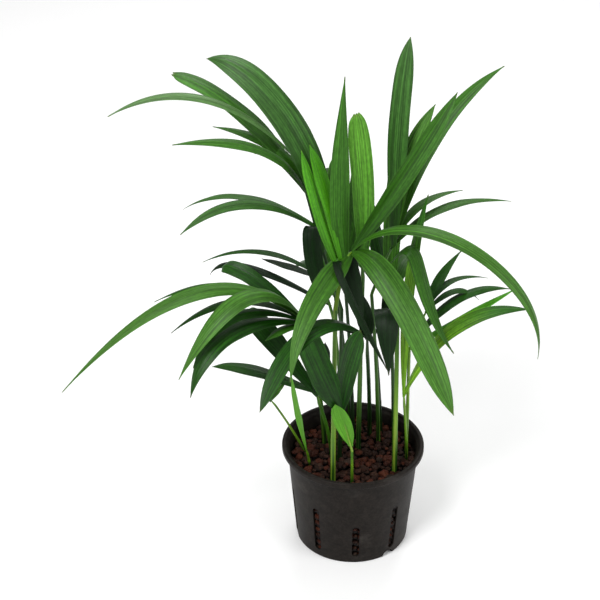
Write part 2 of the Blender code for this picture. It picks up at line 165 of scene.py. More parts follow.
def ease(tree, value, low, high, start=0.0, end=1.0):
    node = tree.nodes.new("ShaderNodeMapRange")
    node.interpolation_type = "SMOOTHSTEP"
    for label, amount in (("Value", value), ("From Min", low), ("From Max", high),
                          ("To Min", start), ("To Max", end)):
        feed(tree, amount, node.inputs[label])
    return node.outputs["Result"]


def blend(tree, share, first, second, how="MIX"):
    node = tree.nodes.new("ShaderNodeMix")
    node.data_type = "RGBA"
    node.blend_type = how
    feed(tree, share, node.inputs["Factor"])
    feed(tree, first, node.inputs[6])
    feed(tree, second, node.inputs[7])
    return node.outputs[2]


def threeWay(tree, x, y, z):
    node = tree.nodes.new("ShaderNodeCombineXYZ")
    for index, value in enumerate((x, y, z)):
        feed(tree, value, node.inputs[index])
    return node.outputs[0]


def parts(tree, vector):
    node = tree.nodes.new("ShaderNodeSeparateXYZ")
    tree.links.new(vector, node.inputs[0])
    return node.outputs


def speckle(tree, vector, scale, detail=2.0, rough=0.5):
    node = tree.nodes.new("ShaderNodeTexNoise")
    tree.links.new(vector, node.inputs["Vector"])
    feed(tree, scale, node.inputs["Scale"])
    node.inputs["Detail"].default_value = detail
    node.inputs["Roughness"].default_value = rough
    return node.outputs["Fac"]


def shade(tree, colour, value):  # the same hue, darker or lighter
    node = tree.nodes.new("ShaderNodeHueSaturation")
    feed(tree, colour, node.inputs["Color"])
    feed(tree, value, node.inputs["Value"])
    return node.outputs[0]


def useGroup(tree, group, values):
    node = tree.nodes.new("ShaderNodeGroup")
    node.node_tree = group
    for label, value in values.items():
        feed(tree, value, node.inputs[label])
    return node.outputs


def named(tree, label):
    node = tree.nodes.new("ShaderNodeAttribute")
    node.attribute_name = label
    return node


def newMaterial(name, settings):
    material = bpy.data.materials.new(name)
    material.use_nodes = True
    shader = material.node_tree.nodes["Principled BSDF"]
    for label, value in settings.items():
        shader.inputs[label].default_value = value
    return material, material.node_tree, shader


def bump(tree, shader, height, strength, distance):
    node = tree.nodes.new("ShaderNodeBump")
    node.inputs["Strength"].default_value = strength
    node.inputs["Distance"].default_value = distance
    tree.links.new(height, node.inputs["Height"])
    tree.links.new(node.outputs["Normal"], shader.inputs["Normal"])


# Leaves

leafKinds = dict(  # screen colours at the root, at the tip and underneath, and how rough the wax is; most kinds are lit and shaded copies of one leaf green, so their colours hold painted light and painted shade
    # painted backlight: a lit copy of the leaf green
    paintedLit=dict(root=(56, 116, 6), tip=(66, 138, 14), under=(84, 146, 34), rough=0.44),
    young=dict(root=(112, 164, 34), tip=(40, 92, 16), under=(98, 146, 48), rough=0.44),
    fresh=dict(root=(46, 92, 14), tip=(66, 112, 38), under=(84, 124, 56), rough=0.42),
    mid=dict(root=(34, 76, 6), tip=(54, 102, 28), under=(70, 108, 46), rough=0.42),
    # painted shade: a shaded copy of the leaf green
    shadedDeep=dict(root=(16, 54, 4), tip=(30, 76, 10), under=(48, 84, 30), rough=0.40),
    # painted shade: the darkest copy, for leaflets deep in shade
    shade=dict(root=(7, 28, 6), tip=(12, 38, 8), under=(22, 46, 18), rough=0.46),
    # painted sheen: a grey-green highlight carried in the base colour
    paintedSheen=dict(root=(60, 96, 42), tip=(88, 124, 72), under=(100, 132, 84), rough=0.36),
    cool=dict(root=(36, 78, 16), tip=(58, 98, 42), under=(66, 102, 54), rough=0.38),
    pale=dict(root=(52, 104, 16), tip=(84, 142, 42), under=(92, 142, 58), rough=0.42),
)

leafShape = dict(  # the same rule as the solids, carried to a finer blade
    stations=44, tipStations=(0.986, 0.993, 0.998, 1.0), across=6, rootWidth=0.26, rootSink=2.0,
    tipWidth=1.5, tipRound=0.985, bluntTipShare=0.3, blunt=6.0, ridge=0.27,
    creaseSoft=0.05, pleats=3, pleatDepth=0.022, thickness=0.5, edgeThickness=0.28, wave=0.05,
    twist=7.0, fringe=0.018, seed=21)

slender, pointed, broad, full, blunt = 1.0, 1.5, 2.2, 4.0, 6.0


def leaf(kind, bearing, reach, rise, crest, width, lean=0.5, bow=0.0, roll=0.0, late=(0.0, 0.0), at=1.0,
         taper=pointed, peak=0.42, dry=0.25):
    return dict(kind=kind, bearing=bearing, reach=reach, rise=rise, crest=crest, width=width, lean=lean,
                bow=bow, roll=roll, late=late, at=at, taper=taper, peak=peak, dry=dry)

stems = {
    "front": dict(
        foot=(-22, -48), tip=(-21, -35, 301.6), radius=2.6, upright=0.5,
        rib=dict(bearing=58, reach=31, rise=50, crest=59),
        leaflets=[
            leaf("fresh", 308, 157, -110, 33, 27, lean=0.34, bow=-3, roll=15, taper=full),
            leaf("fresh", 243, 132, -75, -16, 24, lean=0.73, bow=-12, roll=-10, at=0.96, taper=slender, peak=0.2),
            leaf("fresh", 338, 195, -78, 122, 18, lean=0.4, bow=11, roll=10, late=(88, -42), at=0.98),
            leaf("mid", 21, 108, 156, 76, 22, lean=0.54, bow=-4, roll=20, at=0.96, taper=broad),
            leaf("paintedLit", 128, 64, 113, 60, 15, lean=0.43, bow=9, roll=5, at=0.35, taper=broad),
            leaf("paintedLit", 120, 66, 108, 72, 17, lean=0.43, roll=10, at=0.45, peak=0.55),
            leaf("mid", 92, 50, 176, 35, 22, lean=0.34, bow=11, roll=25, at=0.6, taper=slender, peak=0.5),
            leaf("shade", 310, 67, -89, 41, 11, lean=-0.01, bow=-34, roll=-15, at=0.5, taper=broad),
            leaf("shade", 299, 27, -65, -10, 16, lean=0.46, bow=-10, roll=5, at=0.94),
        ]),
    "upper_left": dict(
        foot=(-14, -5), tip=(-14, 0, 280), radius=2.2, upright=0.5,
        rib=dict(bearing=136, reach=62, rise=147, crest=62),
        leaflets=[
            leaf("paintedSheen", 191, 185, 65, 128, 10, lean=0.51, bow=22, roll=-20),
            leaf("mid", 162, 138, 104, 89, 26, lean=0.45, bow=-3, roll=-5, at=0.84, taper=blunt),
            leaf("cool", 146, 140, 176, 144, 31, lean=-0.08, bow=-19, roll=-25, late=(53, 34), at=0.42, taper=broad),
            leaf("mid", 164, 95, 54, 51, 15, lean=0.17, bow=-2, roll=-10, at=0.84),
            leaf("mid", 199, 136, 77, 80, 14, lean=0.24, bow=10, roll=-20, at=0.8),
            leaf("cool", 165, 139, -2, 44, 13, lean=0.6, bow=1, at=0.6),
            leaf("cool", 202, 143, 23, 75, 15, lean=0.56, bow=1, roll=-10, at=0.58),
            leaf("shade", 281, 36, -68, 18, 20, lean=0.36, bow=-15, roll=-15, at=0.58, taper=broad),
        ]),
    "middle_left": dict(
        foot=(-9, 22), tip=(-22, 13, 262), radius=2, upright=0.5,
        rib=dict(bearing=165, reach=13, rise=46, crest=24),
        leaflets=[
            leaf("shadedDeep", 160, 130, -9, 37, 9),
            leaf("shade", 151, 70, 3, 6, 11, lean=0.59, bow=3, at=0.97),
            leaf("shade", 164, 128, 14, 53, 10, lean=0.89, bow=-1, roll=-10, at=0.3),
        ]),
    "left": dict(
        foot=(-30, 22), tip=(-44, 0, 240), radius=2.2, upright=0.5,
        rib=dict(bearing=232, reach=13, rise=34, crest=18),
        leaflets=[
            leaf("fresh", 193, 248, -51, 116, 18, lean=0.4, roll=-15, taper=slender),
            leaf("shadedDeep", 165, 160, -4, 54, 9, lean=0.47, bow=-7, roll=-10, at=0.96),
            leaf("fresh", 214, 148, -17, 106, 23, lean=0.45, bow=-1, roll=-10, at=0.98),
            leaf("shadedDeep", 186, 135, -6, 56, 13, at=0.94),
            leaf("shadedDeep", 211, 128, -13, 59, 13, lean=0.7, bow=-13, roll=-15, at=0.92),
            leaf("shadedDeep", 220, 146, -28, 45, 23, lean=0.73, bow=-21, roll=-5, at=0.88),
            leaf("mid", 217, 50, -2, 6, 13, at=0.84),
            leaf("shadedDeep", 153, 94, 36, 56, 20, lean=0.83, bow=4, roll=-10, at=0.95, taper=full),
        ]),
    "low_front": dict(
        foot=(19, 38), tip=(13, -3, 228), radius=2.2, upright=0.5,
        rib=dict(bearing=258, reach=3, rise=22, crest=12),
        leaflets=[
            leaf("shadedDeep", 216, 134, -38, 131, 19, lean=0.92, bow=59, roll=-15, taper=full),
            leaf("shade", 190, 46, 20, 24, 14, bow=8, at=0.95),
            leaf("shade", 240, 14, 62, 30, 20, at=0.9),
        ]),
    "low_left": dict(
        foot=(-22, 4), tip=(-36, -12, 172), radius=2, upright=0.45,
        rib=dict(bearing=225, reach=4, rise=16, crest=8),
        leaflets=[
            leaf("shadedDeep", 164, 113, 11, 24, 16, lean=0.71, bow=1, roll=-10),
            leaf("shadedDeep", 144, 88, 65, 103, 24, lean=0.81, bow=32, roll=-20, at=0.9),
            leaf("shade", 300, 16, 72, 38, 20, at=0.9),
        ]),
    "folded": dict(
        foot=(-2, -50), tip=(-3, -64, 150), radius=1.5, upright=0.5,
        rib=dict(bearing=200, reach=12, rise=52, crest=26),
        leaflets=[
            leaf("shadedDeep", 173, 41, 103, 39, 27, bow=1, roll=-55, taper=full),
            leaf("shadedDeep", 25, 20, 91, 31, 22, bow=18, roll=30, taper=full),
            leaf("paintedLit", 215, 20, 58, 32, 18, roll=40, at=0.15, taper=broad),
        ]),
    "small_left": dict(
        foot=(-50, 5), tip=(-82, -8, 168), radius=1.3, upright=0.15,
        rib=dict(bearing=190, reach=4, rise=6, crest=3),
        leaflets=[
            leaf("fresh", 20, 16, 20, 12, 9),
        ]),
    "spear_left": dict(
        foot=(-46, -14), tip=(-48, -18, 112), radius=1.5, upright=0.2,
        rib=dict(bearing=215, reach=2, rise=8, crest=4),
        leaflets=[
            leaf("paintedLit", 212, 17, 96, 44, 14, bow=-6),
        ]),
    "low_right": dict(
        foot=(57, 8), tip=(56, 1, 230), radius=1.8, upright=0.5,
        rib=dict(bearing=35, reach=22, rise=42, crest=24),
        leaflets=[
            leaf("shadedDeep", 52, 60, 42, 24, 11, lean=0.34, bow=6, roll=10, taper=slender),
            leaf("shadedDeep", 32, 77, 13, 35, 9, lean=0.34, bow=10, at=0.97),
            leaf("shadedDeep", 21, 59, 0, 34, 9, lean=0.58, bow=-1, roll=5, at=0.94),
            leaf("shadedDeep", 18, 106, 45, 61, 13, lean=0.47, bow=7, roll=5, at=0.15),
            leaf("paintedLit", 14, 111, 54, 32, 10, lean=0.56, bow=-3, roll=10, at=0.06),
        ]),
    "young_right": dict(
        foot=(57, -5), tip=(52, -14, 172), radius=1.6, upright=0.3,
        rib=dict(bearing=180, reach=1, rise=14, crest=7),
        leaflets=[
            leaf("young", 31, 21, 228, 136, 13, lean=0.07, bow=10, roll=20),
            leaf("young", 352, 123, 115, 120, 18, lean=0.31, bow=-5, roll=25, at=0.85),
        ]),
    "arching_right": dict(
        foot=(43, -27), tip=(43, 4, 272), radius=2.6, upright=0.5,
        rib=dict(bearing=180, reach=9, rise=58, crest=30),
        leaflets=[
            leaf("mid", 324, 79, -76, 107, 16, lean=0.81, bow=-7, roll=20, late=(-43, -67)),
        ]),
    "tall_right": dict(
        foot=(28, 26), tip=(17, 22, 284), radius=2, upright=0.5,
        rib=dict(bearing=342, reach=22, rise=64, crest=38),
        leaflets=[
            leaf("cool", 77, 60, 198, 140, 21, lean=0.6, bow=8, roll=-10, taper=broad),
            leaf("mid", 35, 134, 161, 113, 17, lean=0.42, bow=31, roll=15, at=0.95),
            leaf("fresh", 49, 61, 133, 68, 18, lean=0.37, bow=20, roll=15, at=0.97, taper=broad),
            leaf("mid", 36, 90, 35, 43, 11, lean=0.34, bow=13, at=0.93),
            leaf("mid", 25, 137, 21, 47, 13, lean=0.39, bow=9, at=0.9),
        ]),
    "dark_middle": dict(
        foot=(31, 42), tip=(21, 30, 230), radius=2, upright=0.5,
        rib=dict(bearing=300, reach=20, rise=26, crest=18),
        leaflets=[
            leaf("shade", 272, 60, -25, 64, 25, lean=0.48, bow=-2, roll=-10),
            leaf("shade", 79, 16, 38, 20, 8, at=0.9),
        ]),
    "young_back": dict(
        foot=(6, 10), tip=(7, 4, 316), radius=2.4, upright=0.5,
        rib=dict(bearing=200, reach=1, rise=14, crest=7),
        leaflets=[
            leaf("pale", 106, 29, 156, 61, 23, lean=0.43, bow=-9, taper=blunt, peak=0.55),
        ]),
    "rear_right": dict(
        foot=(44, 22), tip=(40, 46, 214), radius=2, upright=0.6,
        rib=dict(bearing=95, reach=22, rise=34, crest=22),
        leaflets=[
            leaf("mid", 66, 94, -4, 54, 20),
            leaf("shadedDeep", 90, 122, -26, 57, 22, bow=-1, at=0.95),
            leaf("mid", 118, 108, 0, 50, 20, at=0.85),
            leaf("fresh", 80, 63, 190, 82, 19, bow=5, at=0.97),
            leaf("mid", 64, 97, 159, 110, 18, bow=26, roll=20, at=0.9),
            leaf("shadedDeep", 112, 104, 128, 62, 17, lean=0.55, bow=-6, at=0.93),
        ]),
    "rear_left": dict(
        foot=(-2, 48), tip=(-12, 60, 216), radius=2, upright=0.6,
        rib=dict(bearing=110, reach=20, rise=34, crest=22),
        leaflets=[
            leaf("mid", 100, 120, -18, 56, 22, lean=0.52),
            leaf("shadedDeep", 115, 106, -26, 34, 20, bow=4, at=0.92),
            leaf("mid", 84, 106, 13, 46, 18, bow=4, at=0.82),
            leaf("fresh", 128, 90, 168, 127, 20, lean=0.36, bow=-8, at=0.96),
            leaf("mid", 62, 43, 157, 80, 18, lean=0.7, bow=-12, at=0.94),
            leaf("shadedDeep", 112, 98, 97, 95, 17, lean=0.38, bow=-5, at=0.9),
        ]),
    "rear_middle": dict(
        foot=(1, 29), tip=(-9, 48, 273), radius=2, upright=0.6,
        rib=dict(bearing=95, reach=16, rise=40, crest=24),
        leaflets=[
            leaf("mid", 100, 129, -8, 115, 19, bow=6, at=0.98),
            leaf("shadedDeep", 136, 130, 65, 110, 18, lean=0.46, bow=14, at=0.95),
            leaf("mid", 131, 130, 148, 114, 18, bow=-10, at=0.9),
            leaf("fresh", 94, 59, 84, 87, 16, bow=15, at=0.9),
        ]),
}

bedTop = 96.0  # height of the filling, and the gap that the solids keep at a stalk's foot and tip
seatGap = 0.3


def stalkPlaces(stem, stations):
    foot = Vector((*stem["foot"], bedTop + seatGap)) * mm
    tip = Vector(stem["tip"]) * mm
    middle = (foot + tip) / 2
    shoulder = middle.lerp(Vector((foot.x, foot.y, middle.z)), stem["upright"])
    return bendPoints(foot, shoulder, tip, stations)


def ribStart(stem):
    tip, heading = stalkPlaces(stem, [0.5, 1.0])[-1]
    return tip + heading * seatGap * mm, heading


def bladeWidth(t, shape):
    s, peak = leafShape, shape["peak"]
    if t < peak:
        grow = math.sin(0.5 * math.pi * t / peak)
        return shape["width"] * (s["rootWidth"] + (1 - s["rootWidth"]) * grow)
    past = ((t - peak) / (1 - peak)) ** shape["taper"]
    if shape["taper"] >= s["blunt"]:
        return shape["width"] * max(s["bluntTipShare"], math.sqrt(1 - past))
    wide = max(s["tipWidth"], shape["width"] * math.cos(0.5 * math.pi * past))
    end = max(0.0, (t - s["tipRound"]) / (1 - s["tipRound"]))
    return wide * math.sqrt(1.04 - end * end)


def addLeaf(skin, root, shape, draw):  # a closed thin blade, roofed along its middle and pleated
    s = leafShape
    stations = evenStations(s["stations"])[:-1] + list(s["tipStations"])
    places = reachPoints(root, shape, stations)
    places[0] = (root - places[0][1] * s["rootSink"] * mm, places[0][1])
    level = sideVector(shape["bearing"])
    count = s["across"]
    shares = [i / count for i in range(-count, count + 1)]
    seed = draw.random()
    phase = draw.uniform(0.0, 6.28)
    turns = draw.uniform(1.6, 2.8)
    twist = draw.uniform(-s["twist"], s["twist"])
    frays = [draw.random() for _ in shares]
    isBlunt = shape["taper"] >= s["blunt"]
    length = sum((b[0] - a[0]).length for a, b in zip(places, places[1:]))
    tops, lows = [], []
    for t, (spot, heading) in zip(stations, places):
        side = (level - heading * level.dot(heading)).normalized()
        face = heading.cross(side)
        roll = math.radians(shape["roll"] + twist * t * t)
        side, face = (side * math.cos(roll) + face * math.sin(roll),
                      face * math.cos(roll) - side * math.sin(roll))
        half = bladeWidth(t, shape) / 2
        topRow, lowRow = [], []
        for share, fray in zip(shares, frays):
            away = abs(share)
            soft = math.sqrt(away * away + s["creaseSoft"] ** 2) - s["creaseSoft"]
            lift = s["ridge"] * half * (1 - soft / (1 - s["creaseSoft"]))
            lift += s["pleatDepth"] * half * math.cos(2 * math.pi * s["pleats"] * away) * math.sin(math.pi * t)
            lift += s["wave"] * half * away ** 2 * math.sin(turns * 6.28 * t + phase + share) * math.sin(math.pi * t)
            thick = mixNumber(s["thickness"], s["edgeThickness"], away ** 3) * (1 - 0.4 * t)
            spotHere = spot + side * half * share * mm + face * lift * mm
            if isBlunt:
                spotHere -= heading * length * s["fringe"] * fray * smoothStep(0.93, 1.0, t)
            topRow.append(skin.addPoint(spotHere + face * thick / 2 * mm,
                                        leafPlace=(share, t, seed), leafUnder=0.0, leafDry=shape["dry"]))
            lowRow.append(skin.addPoint(spotHere - face * thick / 2 * mm,
                                        leafPlace=(share, t, seed), leafUnder=1.0, leafDry=shape["dry"]))
        tops.append(topRow)
        lows.append(lowRow)
    for k in range(len(stations) - 1):
        for i in range(2 * count):
            skin.addFace(tops[k][i], tops[k + 1][i], tops[k + 1][i + 1], tops[k][i + 1])
            skin.addFace(lows[k][i], lows[k][i + 1], lows[k + 1][i + 1], lows[k + 1][i])
        skin.addFace(tops[k][0], lows[k][0], lows[k + 1][0], tops[k + 1][0])
        skin.addFace(tops[k][-1], tops[k + 1][-1], lows[k + 1][-1], lows[k][-1])
    for row, other, turned in ((tops[0], lows[0], False), (tops[-1], lows[-1], True)):
        for i in range(2 * count):
            corners = (row[i], row[i + 1], other[i + 1], other[i])
            skin.addFace(*(reversed(corners) if turned else corners))


def makeLeafGroup():
    group, given, result = newGroup("leafVeins", [
        ("Place", "Vector", (0.0, 0.0, 0.0)), ("Under", "Float", 0.0), ("Dry", "Float", 0.0),
        ("Root Colour", "Color", (0, 0, 0, 1)), ("Tip Colour", "Color", (0, 0, 0, 1)),
        ("Under Colour", "Color", (0, 0, 0, 1)), ("Wax", "Float", 0.4),
    ], [("Colour", "Color"), ("Roughness", "Float"), ("Height", "Float")])
    get = given.outputs
    across, along, seed = parts(group, get["Place"])
    seedFar = maths(group, "MULTIPLY", seed, 37.0)
    wide = speckle(group, threeWay(group, maths(group, "MULTIPLY", across, 3.2),
                                   maths(group, "MULTIPLY", along, 1.1), seedFar), 1.0, 2.0)
    fine = speckle(group, threeWay(group, maths(group, "MULTIPLY", across, 10.0),
                                   maths(group, "MULTIPLY", along, 1.6), seedFar), 1.0, 3.0, 0.6)
    hair = speckle(group, threeWay(group, maths(group, "MULTIPLY", across, 32.0),
                                   maths(group, "MULTIPLY", along, 3.0), seedFar), 1.0, 2.0, 0.6)
    cloud = speckle(group, threeWay(group, maths(group, "MULTIPLY", across, 0.8),
                                    maths(group, "MULTIPLY", along, 5.0), seedFar), 1.0, 2.0)
    drift = maths(group, "MULTIPLY_ADD", cloud, 0.5, -0.25)
    gradient = ease(group, maths(group, "ADD", along, drift), 0.05, 0.9)
    plain = blend(group, gradient, get["Root Colour"], get["Tip Colour"])
    streak = maths(group, "MULTIPLY", ease(group, wide, 0.36, 0.64, 0.86, 1.14),
                   ease(group, fine, 0.38, 0.62, 0.66, 1.34))
    streak = maths(group, "MULTIPLY", streak, ease(group, hair, 0.4, 0.6, 0.84, 1.16))
    blotch = speckle(group, threeWay(group, maths(group, "MULTIPLY", across, 5.0),
                                     maths(group, "MULTIPLY", along, 34.0), seedFar), 1.0, 3.0, 0.6)
    streak = maths(group, "MULTIPLY", streak, ease(group, blotch, 0.3, 0.7, 0.84, 1.16))
    veined = shade(group, plain, streak)
    away = maths(group, "ABSOLUTE", across)
    middle = maths(group, "SUBTRACT", 1.0, ease(group, away, 0.015, 0.075))
    ribbed = blend(group, maths(group, "MULTIPLY", middle, 0.3), veined, shade(group, get["Tip Colour"], 1.2))
    margin = ease(group, away, 0.9, 0.99)
    edged = blend(group, maths(group, "MULTIPLY", margin, 0.35), ribbed, shade(group, get["Under Colour"], 0.8))
    below = shade(group, get["Under Colour"], maths(group, "MULTIPLY_ADD", streak, 0.5, 0.5))
    sided = blend(group, maths(group, "MULTIPLY", get["Under"], 0.85), edged, below)
    dryReach = maths(group, "MULTIPLY_ADD", fine, 0.03, 0.955)
    dryHere = maths(group, "MULTIPLY", ease(group, along, dryReach, maths(group, "ADD", dryReach, 0.03)), get["Dry"])
    done = blend(group, dryHere, sided, fromScreen(122, 104, 62))
    feed(group, done, result.inputs["Colour"])
    rough = maths(group, "MULTIPLY_ADD", fine, 0.22, maths(group, "SUBTRACT", get["Wax"], 0.1))
    feed(group, maths(group, "MULTIPLY_ADD", get["Under"], 0.16, rough), result.inputs["Roughness"])
    feed(group, maths(group, "ADD", fine, maths(group, "MULTIPLY", hair, 0.5)), result.inputs["Height"])
    return group


def makeLeafMaterial(kind, settings, group):
    material, tree, shader = newMaterial("leaf_" + kind, {"Specular IOR Level": 0.2})
    placed = named(tree, "leafPlace")
    out = useGroup(tree, group, {
        "Place": placed.outputs["Vector"], "Under": named(tree, "leafUnder").outputs["Fac"],
        "Dry": named(tree, "leafDry").outputs["Fac"], "Root Colour": fromScreen(*settings["root"]),
        "Tip Colour": fromScreen(*settings["tip"]), "Under Colour": fromScreen(*settings["under"]),
        "Wax": settings["rough"]})
    tree.links.new(out["Colour"], shader.inputs["Base Color"])
    tree.links.new(out["Roughness"], shader.inputs["Roughness"])
    bump(tree, shader, out["Height"], 0.5, 0.0006)
    return material


def makeLeaves():
    draw = random.Random(leafShape["seed"])
    skins = {kind: Skin() for kind in leafKinds}
    owners = {kind: [] for kind in leafKinds}
    for name, stem in stems.items():
        start, heading = ribStart(stem)
        for shape in stem["leaflets"]:
            root = reachPoints(start, stem["rib"], [shape["at"]])[0][0]
            addLeaf(skins[shape["kind"]], root, shape, draw)
            if "frond_" + name not in owners[shape["kind"]]:
                owners[shape["kind"]].append("frond_" + name)
    group = makeLeafGroup()
    for kind, settings in leafKinds.items():
        material = makeLeafMaterial(kind, settings, group)
        piece = skins[kind].finish("leaves_" + kind, material)
        place(piece, "leaf_green", *owners[kind])
    print("leaves:", sum(len(skin.faces) for skin in skins.values()), "faces")


makeLeaves()


# Stalks and the ribs that carry the leaves on from them

stalkShape = dict(
    sides=18, steps=46, footShare=1.0, tipShare=0.9, sink=6.0, sheathTop=(0.26, 0.5), sheathLift=0.1,
    sheathSlant=0.03, sheathEdge=0.012, groove=0.1, ribsAround=5, ribDepth=0.035, lean=0.05, seed=8)
ribShape = dict(sides=12, steps=20, tipShare=0.55, overlap=0.6, groove=0.12)
# Lit and shaded copies of one stalk green; in each the foot colour is painted shade, darker towards the granules.
stalkKinds = dict(
    paintedLit=dict(foot=(22, 62, 8), middle=(92, 138, 22), top=(60, 112, 22), streak=(140, 170, 50)),
    green=dict(foot=(16, 48, 8), middle=(56, 104, 16), top=(44, 92, 20), streak=(96, 138, 40)),
    shadedDeep=dict(foot=(8, 28, 5), middle=(20, 54, 10), top=(22, 56, 12), streak=(52, 92, 26)))
litStems = ("front", "arching_right", "spear_left", "young_right", "folded", "small_left", "low_right")
shadedStems = ("dark_middle", "rear_left", "rear_right", "rear_middle", "low_front", "upper_left")


def addTube(skin, places, radiusAt, sides, seed):
    across = Vector((1.0, 0.0, 0.0))
    rows = []
    for index, (spot, heading) in enumerate(places):
        along = index / (len(places) - 1)
        across = (across - heading * across.dot(heading)).normalized()
        third = heading.cross(across)
        row = []
        for i in range(sides):
            angle = 2 * math.pi * i / sides
            radius = radiusAt(along, angle)
            out = across * math.cos(angle) + third * math.sin(angle)
            row.append(skin.addPoint(spot + out * radius * mm,
                                     stalkPlace=(math.cos(angle), math.sin(angle), along), stalkSeed=seed))
        rows.append(row)
    for near, far in zip(rows, rows[1:]):
        for i in range(sides):
            j = (i + 1) % sides
            skin.addFace(near[i], near[j], far[j], far[i])
    skin.addFace(*reversed(rows[0]))
    skin.addFace(*rows[-1])


def stalkRadius(stem, draw):  # a sheath wraps the lower part and ends in a slanting edge
    s = stalkShape
    top = draw.uniform(*s["sheathTop"])
    start = draw.uniform(0.0, 2 * math.pi)
    front = draw.uniform(0.0, 2 * math.pi)

    def radiusAt(along, angle):
        plain = stem["radius"] * mixNumber(s["footShare"], s["tipShare"], along)
        edge = top + s["sheathSlant"] * math.cos(angle - start)
        sheath = 1 - smoothStep(edge - s["sheathEdge"], edge + s["sheathEdge"], along)
        lines = 1 + s["ribDepth"] * math.cos(s["ribsAround"] * angle + start) * (1 - 0.5 * along)
        channel = 1 - s["groove"] * max(0.0, math.cos(angle - front)) ** 4 * smoothStep(0.3, 0.6, along)
        return plain * lines * channel * (1 + s["sheathLift"] * sheath * (1 - 0.3 * along))
    return radiusAt


def makeStalkGroup():
    group, given, result = newGroup("stalkStreaksAndShade", [
        ("Place", "Vector", (0.0, 0.0, 0.0)), ("Seed", "Float", 0.0), ("Shaded Foot Colour", "Color", (0, 0, 0, 1)),
        ("Middle Colour", "Color", (0, 0, 0, 1)), ("Top Colour", "Color", (0, 0, 0, 1)),
        ("Streak Colour", "Color", (0, 0, 0, 1)),
    ], [("Colour", "Color"), ("Roughness", "Float"), ("Height", "Float")])
    get = given.outputs
    right, back, along = parts(group, get["Place"])
    shift = maths(group, "MULTIPLY_ADD", get["Seed"], 23.0, maths(group, "MULTIPLY", along, 1.4))
    around = threeWay(group, maths(group, "MULTIPLY", right, 1.3), maths(group, "MULTIPLY", back, 1.3), shift)
    lines = threeWay(group, maths(group, "MULTIPLY", right, 6.0), maths(group, "MULTIPLY", back, 6.0), shift)
    soft = speckle(group, around, 1.0, 2.0)
    fine = speckle(group, lines, 1.0, 3.0, 0.6)
    # painted shade: the lower stalk darkens towards the foot colour
    lower = blend(group, ease(group, along, 0.05, 0.42), get["Shaded Foot Colour"], get["Middle Colour"])
    plain = blend(group, ease(group, along, 0.5, 0.95), lower, get["Top Colour"])
    streaked = blend(group, ease(group, soft, 0.48, 0.68, 0.0, 0.7), plain, get["Streak Colour"])
    feed(group, shade(group, streaked, maths(group, "MULTIPLY_ADD", fine, 0.9, 0.5)), result.inputs["Colour"])
    feed(group, maths(group, "MULTIPLY_ADD", fine, 0.25, 0.3), result.inputs["Roughness"])
    feed(group, fine, result.inputs["Height"])
    return group


def makeStalkMaterial(name, settings, group):
    material, tree, shader = newMaterial(name, {"Specular IOR Level": 0.35})
    out = useGroup(tree, group, {
        "Place": named(tree, "stalkPlace").outputs["Vector"], "Seed": named(tree, "stalkSeed").outputs["Fac"],
        "Shaded Foot Colour": fromScreen(*settings["foot"]), "Middle Colour": fromScreen(*settings["middle"]),
        "Top Colour": fromScreen(*settings["top"]), "Streak Colour": fromScreen(*settings["streak"])})
    tree.links.new(out["Colour"], shader.inputs["Base Color"])
    tree.links.new(out["Roughness"], shader.inputs["Roughness"])
    bump(tree, shader, out["Height"], 0.4, 0.0005)
    return material


def makeStalks():
    s, r = stalkShape, ribShape
    draw = random.Random(s["seed"])
    stalkSkins = {kind: Skin() for kind in stalkKinds}
    ribSkins = {kind: Skin() for kind in stalkKinds}
    stalkOwners = {kind: [] for kind in stalkKinds}
    ribOwners = {kind: [] for kind in stalkKinds}
    for name, stem in stems.items():
        kind = "paintedLit" if name in litStems else "shadedDeep" if name in shadedStems else "green"
        places = stalkPlaces(stem, evenStations(s["steps"]))
        places[0] = (places[0][0] - up * s["sink"] * mm, up)
        addTube(stalkSkins[kind], places, stalkRadius(stem, draw), s["sides"], draw.random())
        stalkOwners[kind].append("stalk_" + name)
        start, heading = ribStart(stem)
        ribPlaces = reachPoints(start, stem["rib"], evenStations(r["steps"]))
        ribPlaces[0] = (start - heading * r["overlap"] * mm, heading)
        thick = stem["radius"] * s["tipShare"]

        def ribRadius(along, angle, thick=thick):
            channel = 1 - r["groove"] * max(0.0, math.sin(angle)) ** 3
            return thick * mixNumber(1.0, r["tipShare"], along) * channel
        addTube(ribSkins[kind], ribPlaces, ribRadius, r["sides"], draw.random())
        ribOwners[kind].append("frond_" + name)
    group = makeStalkGroup()
    for kind, settings in stalkKinds.items():
        stalkMaterial = makeStalkMaterial("stalk_" + kind, settings, group)
        place(stalkSkins[kind].finish("stalks_" + kind, stalkMaterial), "stalk_green", *stalkOwners[kind])
        ribMaterial = makeStalkMaterial("rib_" + kind, dict(settings, foot=settings["middle"]), group)
        place(ribSkins[kind].finish("ribs_" + kind, ribMaterial), "leaf_green", *ribOwners[kind])
    print("stalks:", len(stems))


makeStalks()


# Clay granules

